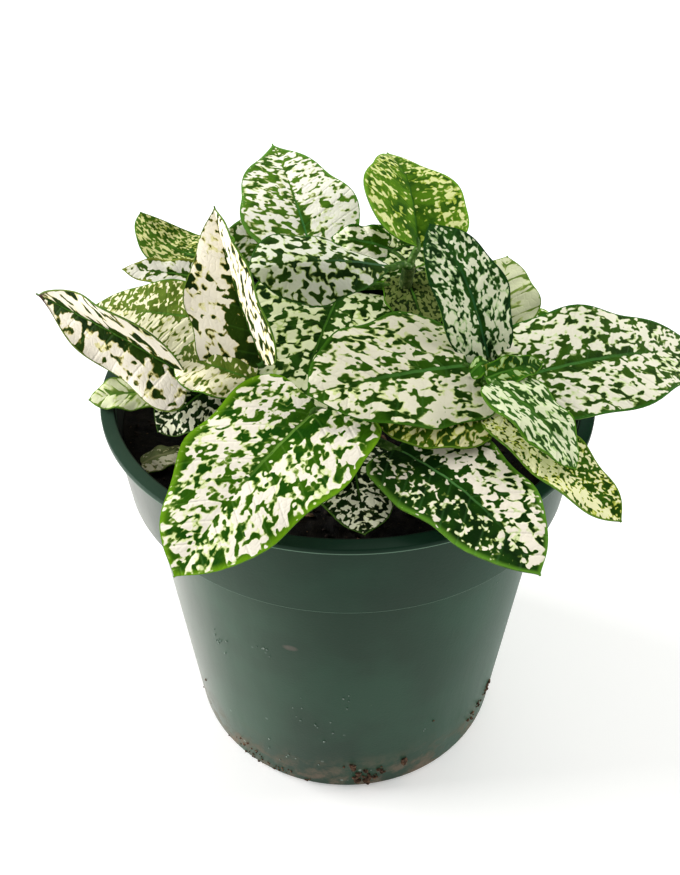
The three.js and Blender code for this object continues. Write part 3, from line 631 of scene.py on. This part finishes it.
def growStem(name, stem):
    x, y = stem['root']
    foot, top = Vector((x, y, soilLevel + soilBump)), Vector(stem['top'])
    buried = foot - Vector((0, 0, stemShape['depth']))
    middle = (foot + top) / 2 + Vector((0, 0, stemShape['bow']))
    radius = stem['radius'] * stemShape['topShare']
    middleRadius = radius * stemShape['middleShare']
    knots = [(buried, radius), (foot, stem['radius']), (middle, middleRadius), (top, radius)]
    pieces = [growRod(knots, stemPaint, stemShape['rounding'])]
    for index, given in enumerate(stem['leaves']):
        shape = Blade(given, bladeWaves['leafPhase'] * index + x)
        look = given['look']
        seed = (index + len(bpy.data.objects)) % patternCount
        pieces.append(growBlade(shape, [upperPaints[look], underPaints[look], rimPaint], seed))
        at = given['at']
        start = foot.lerp(middle, 2 * at) if at < 0.5 else middle.lerp(top, 2 * at - 1)
        bend = start.lerp(shape.start, 0.5)
        bend.z += petiole['rise'] * (shape.start - start).length
        under = [(shape.rib(u) - shape.axes(u)[1] * r * drop, r) for u, r, drop in petiole['ribKnots']]
        knots = [(start, petiole['footRadius']), (bend, petiole['bendRadius'])] + under
        small = min(1, given['width'] / petiole['fullWidth'])
        pieces.append(growRod([(place, r * small) for place, r in knots], stalkPaint, petiole['rounding']))
    return joinAs(name + '_leaves', pieces)


for name, stem in plantStems.items():
    piece = growStem(name, stem)
    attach(piece, 'root')
    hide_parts(name)
    print('grown', piece.name, len(piece.data.polygons), 'faces')


# Pot: the underside disc is extruded up the outer wall, over the lip and down inside
potShape = {
    'sides': 160, 'height': 104, 'rim': 57, 'lip': 1.4, 'bandTop': 55, 'bandFoot': 53.4, 'bandDepth': 22,
    'bodyTop': 49.8, 'base': 43.5, 'chamfer': 1, 'wall': 1.2, 'floor': 1.6, 'holes': 8, 'holeRadius': 3.5,
    'holeRing': 35, 'holeSides': 32, 'drillDepth': 4, 'edge': 0.3, 'edgeAngle': 20, 'edgeSteps': 3,
}
potLook = {
    'green': (0.013, 0.038, 0.021), 'fresh': (0.018, 0.058, 0.032), 'roughness': 0.3, 'gloss': 0.05,
    'broad': 28, 'streak': 5, 'grain': 0.6, 'dirt': 6, 'fleckZone': 12, 'fleckGap': 5.5,    # millimetres
    'depth': 0.12,    # of the relief, millimetres
    # edge: colour of the painted highlight lines at the lip and at the band foot
    'scuffPlace': (-12.4, 62.4), 'scuffSize': (2.1, 1.2), 'edge': (0.16, 0.28, 0.19),
    'edgeHighlights': (('lip', 0.5, 0.75), ('bandDepth', 0.35, 0.5)),    # painted highlights where the edges catch the light: depth below the top, width, share
}
potTints = {    # colour and share of each layer, in the order they are laid
    # the layer at the right is painted light: the right flank lighter and greener, as if lit from the right
    'dust': ((0.2, 0.19, 0.17), 0.06), 'litRight': ((0.009, 0.066, 0.033), 0.72),
    # the layers at the left and at the far left are painted sheen: pale where the left flank catches the
    # light
    'leftSheen': ((0.22, 0.3, 0.23), 0.18), 'farLeftSheen': ((0.5, 0.47, 0.45), 0.5),
    'shade': ((0.004, 0.018, 0.01), 0.35), 'lip': ((0.004, 0.018, 0.01), 0.28),
    'inside': ((0.004, 0.005, 0.004), 0.9), 'scuff': ((0.3, 0.19, 0.18), 0.55),
    'soil': ((0.2, 0.15, 0.11), 0.85), 'fleck': ((0.26, 0.32, 0.28), 0.75),
}
potZones = {    # millimetres along one axis: where the zone starts, where it is full
    'up': (0, 50), 'right': (8, 44), 'left': (2, -34), 'farLeft': (-27, -49), 'forward': (32, -22),
    'band': (70, 92), 'lip': (101.5, 103), 'within': (54.3, 53.9), 'aboveSoil': (92, 94), 'front': (0, -10),
    'foot': (20, 0), 'low': (70, 40),
}


def potPaint():
    look, shape = potLook, potShape
    paint = Paint('pot_plastic', **{'Specular IOR Level': look['gloss']})
    place = paint.objectPlace()
    x, y, z = paint.split(place)
    broad = paint.noise(place, look['broad'] * mm)
    streak = paint.noise(paint.join(x, y, z * 0.15), look['streak'] * mm, 4, 0.6)
    grain = paint.noise(place, look['grain'] * mm, 2)

    def zone(axis, key):
        start, full = potZones[key]
        return paint.rise(axis, start * mm, full * mm)

    onLip = zone(z, 'lip')
    dusty = paint.rise(streak * 0.55 + broad * 0.45, 0.42, 0.75) * (1.05 - zone(z, 'up'))
    radius = paint.add('VectorMath', {'operation': 'LENGTH'}, {0: paint.join(x, y)}, 'Value')
    across, up = [(value - middle * mm) / (size * mm)
                  for value, middle, size in zip((x, z), look['scuffPlace'], look['scuffSize'])]
    scuffed = 1 - paint.rise(across * across + up * up, 0, 1)
    dirty = zone(z, 'foot') * paint.rise(paint.noise(place, look['dirt'] * mm, 5, 0.65), 0.42, 0.66)
    gathered = paint.rise(paint.noise(place, look['fleckZone'] * mm, 2), 0.46, 0.58) * zone(z, 'low')
    spot = 1 - paint.rise(paint.cells(place, look['fleckGap'] * mm, flat=False), 0.05, 0.1)
    layers = {
        # painted light on the right flank, painted sheen on the left flank and at the far left edge
        'dust': dusty, 'litRight': zone(x, 'right'), 'leftSheen': zone(x, 'left') * (streak * 0.4 + 0.8),
        'farLeftSheen': zone(x, 'farLeft') * (streak * 0.6 + 0.7) * (1 - onLip) * zone(y, 'forward'),
        'shade': zone(z, 'band'), 'lip': onLip, 'inside': zone(radius, 'within') * zone(z, 'aboveSoil'),
        'scuff': scuffed * zone(y, 'front') * streak, 'soil': dirty, 'fleck': spot * gathered,
    }
    colour = paint.tint(paint.rise(broad, 0.38, 0.64), look['green'], look['fresh'])
    for key, (tone, share) in potTints.items():
        colour = paint.tint(layers[key] * share, colour, tone)
    # painted highlight lines along the lip and the band foot
    for depth, width, share in look['edgeHighlights']:
        away = abs(z - (shape['height'] - shape[depth]) * mm)
        colour = paint.tint((1 - paint.rise(away, width / 2 * mm, width * mm)) * share, colour, look['edge'])
    paint.feed('Base Color', colour)
    paint.feed('Roughness', dusty * 0.12 + dirty * 0.3 + grain * 0.06 + look['roughness'])
    paint.bump(grain * 0.25 + streak * 0.6 + dirty * 0.8, look['depth'] * mm, 0.6)
    return paint.material


def editAll(kind):    # edit mode with all faces or edges selected
    bpy.ops.object.mode_set(mode='EDIT')
    bpy.ops.mesh.select_mode(type=kind)
    bpy.ops.mesh.select_all(action='SELECT')


def followProfile(profile, extrude):    # profile: (radius, height) in millimetres
    for (fromRadius, fromHeight), (radius, height) in zip(profile, profile[1:]):
        extrude(TRANSFORM_OT_translate={'value': (0, 0, (height - fromHeight) * mm)})
        grow = radius / fromRadius
        bpy.ops.transform.resize(value=(grow, grow, 1), center_override=(0, 0, height * mm))


def turnPot():
    s = potShape
    bandFoot, lipFoot = s['height'] - s['bandDepth'], s['height'] - s['lip']
    profile = [
        (s['base'] - s['chamfer'], 0), (s['base'], s['chamfer']), (s['bodyTop'], bandFoot),
        (s['bandFoot'], bandFoot), (s['bandTop'], lipFoot), (s['rim'], lipFoot), (s['rim'], s['height']),
        (s['bandTop'] - s['wall'], s['height']), (s['bandFoot'] - s['wall'], bandFoot + s['wall']),
        (s['bodyTop'] - s['wall'], bandFoot + s['wall']), (s['base'] - s['wall'], s['floor']),
    ]
    bpy.ops.object.select_all(action='DESELECT')
    bpy.ops.mesh.primitive_circle_add(vertices=s['sides'], radius=profile[0][0] * mm, fill_type='NGON')
    pot = bpy.context.object
    editAll('FACE')
    followProfile(profile, bpy.ops.mesh.extrude_region_move)
    bpy.ops.object.mode_set(mode='OBJECT')
    bpy.ops.object.modifier_add(type='BEVEL')
    bevel = pot.modifiers[-1]
    bevel.width, bevel.segments, bevel.limit_method = s['edge'] * mm, s['edgeSteps'], 'ANGLE'
    bevel.angle_limit = math.radians(s['edgeAngle'])
    bpy.ops.object.modifier_apply(modifier=bevel.name)
    for hole in range(s['holes']):
        turn = 2 * math.pi * (hole + 0.5) / s['holes']
        place = Vector((s['holeRing'] * math.cos(turn), s['holeRing'] * math.sin(turn), s['floor'] / 2)) * mm
        bpy.ops.object.select_all(action='DESELECT')
        bpy.ops.mesh.primitive_cylinder_add(
            vertices=s['holeSides'], radius=s['holeRadius'] * mm, depth=s['drillDepth'] * mm,
            location=place)
        drill = bpy.context.object
        bpy.context.view_layer.objects.active = pot
        bpy.ops.object.modifier_add(type='BOOLEAN')
        cut = pot.modifiers[-1]
        cut.object, cut.operation = drill, 'DIFFERENCE'
        bpy.ops.object.modifier_apply(modifier=cut.name)
        bpy.data.objects.remove(drill)
    pot.data.materials.clear()
    pot.data.materials.append(potPaint())
    return nameAndSmooth(pot, 'pot_shell')


pot = turnPot()
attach(pot, 'root')
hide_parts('pot')
print('pot turned')


# Soil: a disc with loose lumps, and its skirt down inside the pot
soilShape = {    # millimetres
    'grid': 150, 'gap': 0.3, 'lump': 0.9, 'lumpSize': 9, 'grit': 0.5, 'gritSize': 2.2, 'settle': 2,
    'waves': ((0.31, 0.17), (-0.12, 0.27)),
}
soilLook = {
    'dark': (0.003, 0.0028, 0.0024), 'light': (0.011, 0.0085, 0.006), 'fibre': (0.12, 0.075, 0.04),
    'coarse': 3.5, 'fine': 0.7, 'fibreGap': 1.8, 'depth': 0.6,    # millimetres
}


def soilHeight(x, y):    # millimetres
    waves = sum(math.sin(x * alongX + y * alongY) for alongX, alongY in soilShape['waves'])
    return soilLevel + soilBump * waves / 2


def looseHeight(x, y):
    s = soilShape
    lump = s['lump'] * noise.noise(Vector((x, y, 3.1)) / s['lumpSize'])
    grit = s['grit'] * noise.turbulence(Vector((x, y, 7.7)) / s['gritSize'], 3, False)
    return soilHeight(x, y) + lump + grit


def soilPaint():
    look = soilLook
    paint = Paint('potting_soil', **{'Specular IOR Level': 0.1})
    place = paint.objectPlace()
    coarse = paint.noise(place, look['coarse'] * mm, 5, 0.65)
    fine = paint.noise(place, look['fine'] * mm, 4, 0.7)
    colour = paint.tint(paint.rise(coarse, 0.38, 0.66), look['dark'], look['light'])
    fibre = 1 - paint.rise(paint.cells(place, look['fibreGap'] * mm, flat=False), 0.1, 0.2)
    colour = paint.tint(fibre * paint.rise(fine, 0.5, 0.62), colour, look['fibre'])
    paint.feed('Base Color', colour)
    paint.feed('Roughness', fine * 0.3 + 0.65)
    paint.bump(coarse * 0.6 + fine * 0.6, look['depth'] * mm, 0.9)
    return paint.material


def spreadSoil():
    s, p = soilShape, potShape
    bandFoot = p['height'] - p['bandDepth']
    inset = p['wall'] + s['gap']
    sunk = (p['height'] - soilLevel) / p['bandDepth']    # share of the rim band above the soil
    topRadius = p['bandTop'] - inset - sunk * (p['bandTop'] - p['bandFoot'])
    bpy.ops.object.select_all(action='DESELECT')
    bpy.ops.mesh.primitive_grid_add(x_subdivisions=s['grid'], y_subdivisions=s['grid'], size=2)
    soil = bpy.context.object
    for vertex in soil.data.vertices:
        x, y = vertex.co.x, vertex.co.y
        u, v = x * math.sqrt(1 - y * y / 2), y * math.sqrt(1 - x * x / 2)    # square to disc
        x, y = u * topRadius, v * topRadius
        near = max(0, 1 - (topRadius - math.hypot(x, y)) / s['settle'])    # level against the wall
        vertex.co = Vector((x, y, looseHeight(x, y) * (1 - near) + soilHeight(x, y) * near)) * mm
    skirt = [
        (topRadius, soilLevel), (p['bandFoot'] - inset, bandFoot + inset),
        (p['bodyTop'] - inset, bandFoot + inset), (p['base'] - inset, p['floor'] + s['gap']),
    ]
    editAll('EDGE')
    bpy.ops.mesh.region_to_loop()
    followProfile(skirt, bpy.ops.mesh.extrude_edges_move)
    bpy.ops.mesh.edge_face_add()
    bpy.ops.object.mode_set(mode='OBJECT')
    soil.data.materials.append(soilPaint())
    return nameAndSmooth(soil, 'potting_soil')


soil = spreadSoil()
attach(soil, 'root')
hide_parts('soil')
print('soil spread')


# Loose bits on the soil, and dirt stuck to the pot
looseBits = {    # sizes in millimetres
    'crumbs': {
        'count': 420, 'size': (0.5, 1.7), 'flat': 0.7, 'detail': 1,
        'dark': (0.004, 0.003, 0.0025), 'light': (0.022, 0.014, 0.009),
    },
    'bark': {
        'count': 26, 'size': (1.2, 2.8), 'flat': 0.35, 'detail': 2,
        'dark': (0.05, 0.028, 0.016), 'light': (0.2, 0.12, 0.07),
    },
    'perlite': {
        'count': 16, 'size': (0.5, 1.1), 'flat': 0.8, 'detail': 2,
        'dark': (0.5, 0.47, 0.4), 'light': (0.75, 0.73, 0.68),
    },
}
spread = {'reach': 50, 'stemGap': 3.5, 'lowest': 1.2, 'highest': 75, 'sink': 0.2}    # sink: share of the size
beadShape = {'lump': 0.45, 'lumpScale': 2.3, 'length': 1.2, 'mottle': 0.8, 'relief': 0.2}
anyTurn = (0, 6.28)    # radians
wallDirt = {
    'soil': [    # angle from the front towards the right, height, spread of both, count, sizes
        (2, 11, 1.0, 1.0, 9, 0.8, 1.7), (7, 5, 2.0, 1.6, 22, 0.7, 2.0), (12, 7, 1.2, 1.2, 9, 0.6, 1.6),
        (21, 9.5, 0.6, 0.6, 6, 1.0, 2.2), (62, 14, 1.2, 1.8, 10, 0.6, 1.5), (53, 10, 2, 2.5, 12, 0.5, 1.2),
        (-27, 2.5, 7, 1.2, 26, 0.4, 0.9), (-36, 6, 4, 2, 10, 0.3, 0.8), (30, 24, 0.5, 0.5, 2, 0.5, 0.9),
        (-57, 20.5, 0.2, 0.2, 1, 0.8, 1), (160, 5, 30, 4, 30, 0.3, 0.8), (-110, 6, 30, 4, 24, 0.3, 0.8),
    ],
    'grit': [
        (-40, 52, 1.8, 1.5, 9, 0.35, 0.75), (-23, 58, 1.2, 1.5, 5, 0.3, 0.6), (-14, 36, 1, 6, 5, 0.3, 0.65),
        (1, 42, 1.5, 2, 4, 0.3, 0.65), (-5, 27, 3, 6, 6, 0.35, 0.7), (-22, 12, 5, 3, 6, 0.35, 0.75),
        (4, 8, 2, 3, 4, 0.4, 0.8), (28, 24, 1.5, 1.5, 3, 0.2, 0.4), (150, 30, 40, 20, 20, 0.2, 0.5),
    ],
}
dirtColours = {
    'soil': ((0.03, 0.018, 0.012), (0.16, 0.09, 0.055)), 'grit': ((0.12, 0.17, 0.14), (0.3, 0.36, 0.31)),
}


def makeCrumb(name, flat, detail):    # a lumpy bead of about 1 mm, to be copied
    bpy.ops.object.select_all(action='DESELECT')
    bpy.ops.mesh.primitive_ico_sphere_add(subdivisions=detail, radius=0.5 * mm)
    crumb = bpy.context.object
    for vertex in crumb.data.vertices:
        bumps = noise.noise(vertex.co / mm * beadShape['lumpScale'] + Vector((len(name), 5, 1)))
        vertex.co *= 1 + beadShape['lump'] * bumps
        vertex.co.x *= beadShape['length']
        vertex.co.z *= flat
    return crumb


def scatter(name, crumb, places, material):    # places: (point in millimetres, size, turn)
    copies = []
    for point, size, turn in places:
        copy = crumb.copy()
        copy.data = crumb.data.copy()
        scene.collection.objects.link(copy)
        turned = Matrix.Rotation(turn, 4, (0.3, 0.2, 1)) @ Matrix.Scale(size, 4)
        copy.data.transform(Matrix.Translation(Vector(point) * mm) @ turned)
        copies.append(copy)
    bpy.data.objects.remove(crumb)
    joined = joinAs(name, copies)
    joined.data.materials.clear()
    joined.data.materials.append(material)
    return joined


def soilSpot():
    reach = spread['reach']
    while True:
        x, y = chance.uniform(-reach, reach), chance.uniform(-reach, reach)
        away = min(math.hypot(x - s['root'][0], y - s['root'][1]) for s in plantStems.values())
        if math.hypot(x, y) < reach and away > spread['stemGap']:
            return x, y


for name, bits in looseBits.items():
    places = []
    for _ in range(bits['count']):
        x, y = soilSpot()
        size = chance.uniform(*bits['size'])
        places.append(((x, y, looseHeight(x, y) + size * spread['sink']), size, chance.uniform(*anyTurn)))
    mottle, relief = beadShape['mottle'] * mm, beadShape['relief'] * mm
    paint = plainPaint(name, bits['dark'], bits['light'], mottle, 0.9, relief)
    piece = scatter('soil_' + name, makeCrumb(name, bits['flat'], bits['detail']), places, paint)
    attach(piece, 'root')

bodyHeight = potShape['height'] - potShape['bandDepth'] - potShape['chamfer']
taper = (potShape['bodyTop'] - potShape['base']) / bodyHeight
for name, clusters in wallDirt.items():
    places = []
    for angle, height, angleSpread, heightSpread, count, small, large in clusters:
        for _ in range(count):
            turn = math.radians(chance.gauss(angle, angleSpread) - 90)
            z = min(spread['highest'], max(spread['lowest'], chance.gauss(height, heightSpread)))
            radius = potShape['base'] + taper * (z - potShape['chamfer'])
            point = (radius * math.cos(turn), radius * math.sin(turn), z)
            places.append((point, chance.uniform(small, large), chance.uniform(*anyTurn)))
    paint = plainPaint('dried_' + name, *dirtColours[name], beadShape['mottle'] * mm, 0.95)
    piece = scatter('pot_' + name, makeCrumb(name, 0.8, 1), places, paint)
    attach(piece, 'root')
print('loose bits scattered')


# Fallen leaf: dry and pale, on the soil at the left
deadLook = {
    'green': (0.17, 0.21, 0.08), 'deep': (0.05, 0.06, 0.02), 'cream': (0.42, 0.4, 0.18),
    'blush': (0.62, 0.6, 0.42), 'halo': (0.2, 0.22, 0.09), 'rib': (0.3, 0.3, 0.14),
    'rim': (0.16, 0.17, 0.07), 'lean': -0.3, 'sideLean': 1.1, 'patch': 1.2, 'dot': 0.8, 'dots': 1.8,
    'ribZone': 0.5, 'rimZone': 0.4, 'roughness': 0.8,
}
fallen = leaf((-45, -24, 97.1), (-34, -21, 97.1), 'dead', width=8, arch=1.5, fold=-12, curl=0, wave=0.4)
deadPaints = [leafPaint('dead_leaf', deadLook), leafPaint('dead_leaf_under', deadLook, True), rimPaint]
piece = nameAndSmooth(growBlade(Blade(fallen, 0), deadPaints, 7), 'dry_fallen_leaf')
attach(piece, 'root')
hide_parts('fallen_leaf')
print('fallen leaf laid')


# Stage: pale floor and soft light
stage = {
    'floor': (0.84, 0.84, 0.83), 'lighter': 1.03, 'cloud': 0.3, 'size': 8, 'glow': 0.3,
    'room': (1, 1, 1), 'roomStrength': 0.42,
}
softBoxes = [    # place and size in metres, strength in watts, colour
    {'place': (0.25, 0.35, 0.75), 'size': 0.5, 'power': 1.6, 'colour': (1, 0.985, 0.95)},
    {'place': (-1.85, 0.3, 0.75), 'size': 1.2, 'power': 60, 'colour': (1, 0.99, 0.99)},
    {'place': (1.8, 0.6, 0.75), 'size': 1.2, 'power': 26, 'colour': (1, 1, 0.98)},
]

bpy.ops.object.select_all(action='DESELECT')
bpy.ops.mesh.primitive_plane_add(size=stage['size'])
floor = bpy.context.object
floor.name = 'pale_floor'
glow = {'Emission Color': (1, 1, 1, 1), 'Emission Strength': stage['glow']}
floorPaint = Paint('pale_floor', Roughness=0.7, **glow)
cloudy = floorPaint.noise(floorPaint.objectPlace(), stage['cloud'], 2.0)
lighter = [c * stage['lighter'] for c in stage['floor']]
floorPaint.feed('Base Color', floorPaint.tint(cloudy, stage['floor'], lighter))
floor.data.materials.append(floorPaint.material)

scene.world = bpy.data.worlds.new('soft_room')
scene.world.use_nodes = True
room = scene.world.node_tree.nodes['Background']
room.inputs['Color'].default_value = (*stage['room'], 1)
room.inputs['Strength'].default_value = stage['roomStrength']
for box in softBoxes:
    bpy.ops.object.light_add(type='AREA', location=box['place'])
    light = bpy.context.object
    light.data.shape, light.data.size = 'SQUARE', box['size']
    light.data.energy, light.data.color = box['power'], box['colour']
    light.rotation_euler = (Vector((0, 0, 0.09)) - light.location).to_track_quat('-Z', 'Y').to_euler()
print('stage lit')
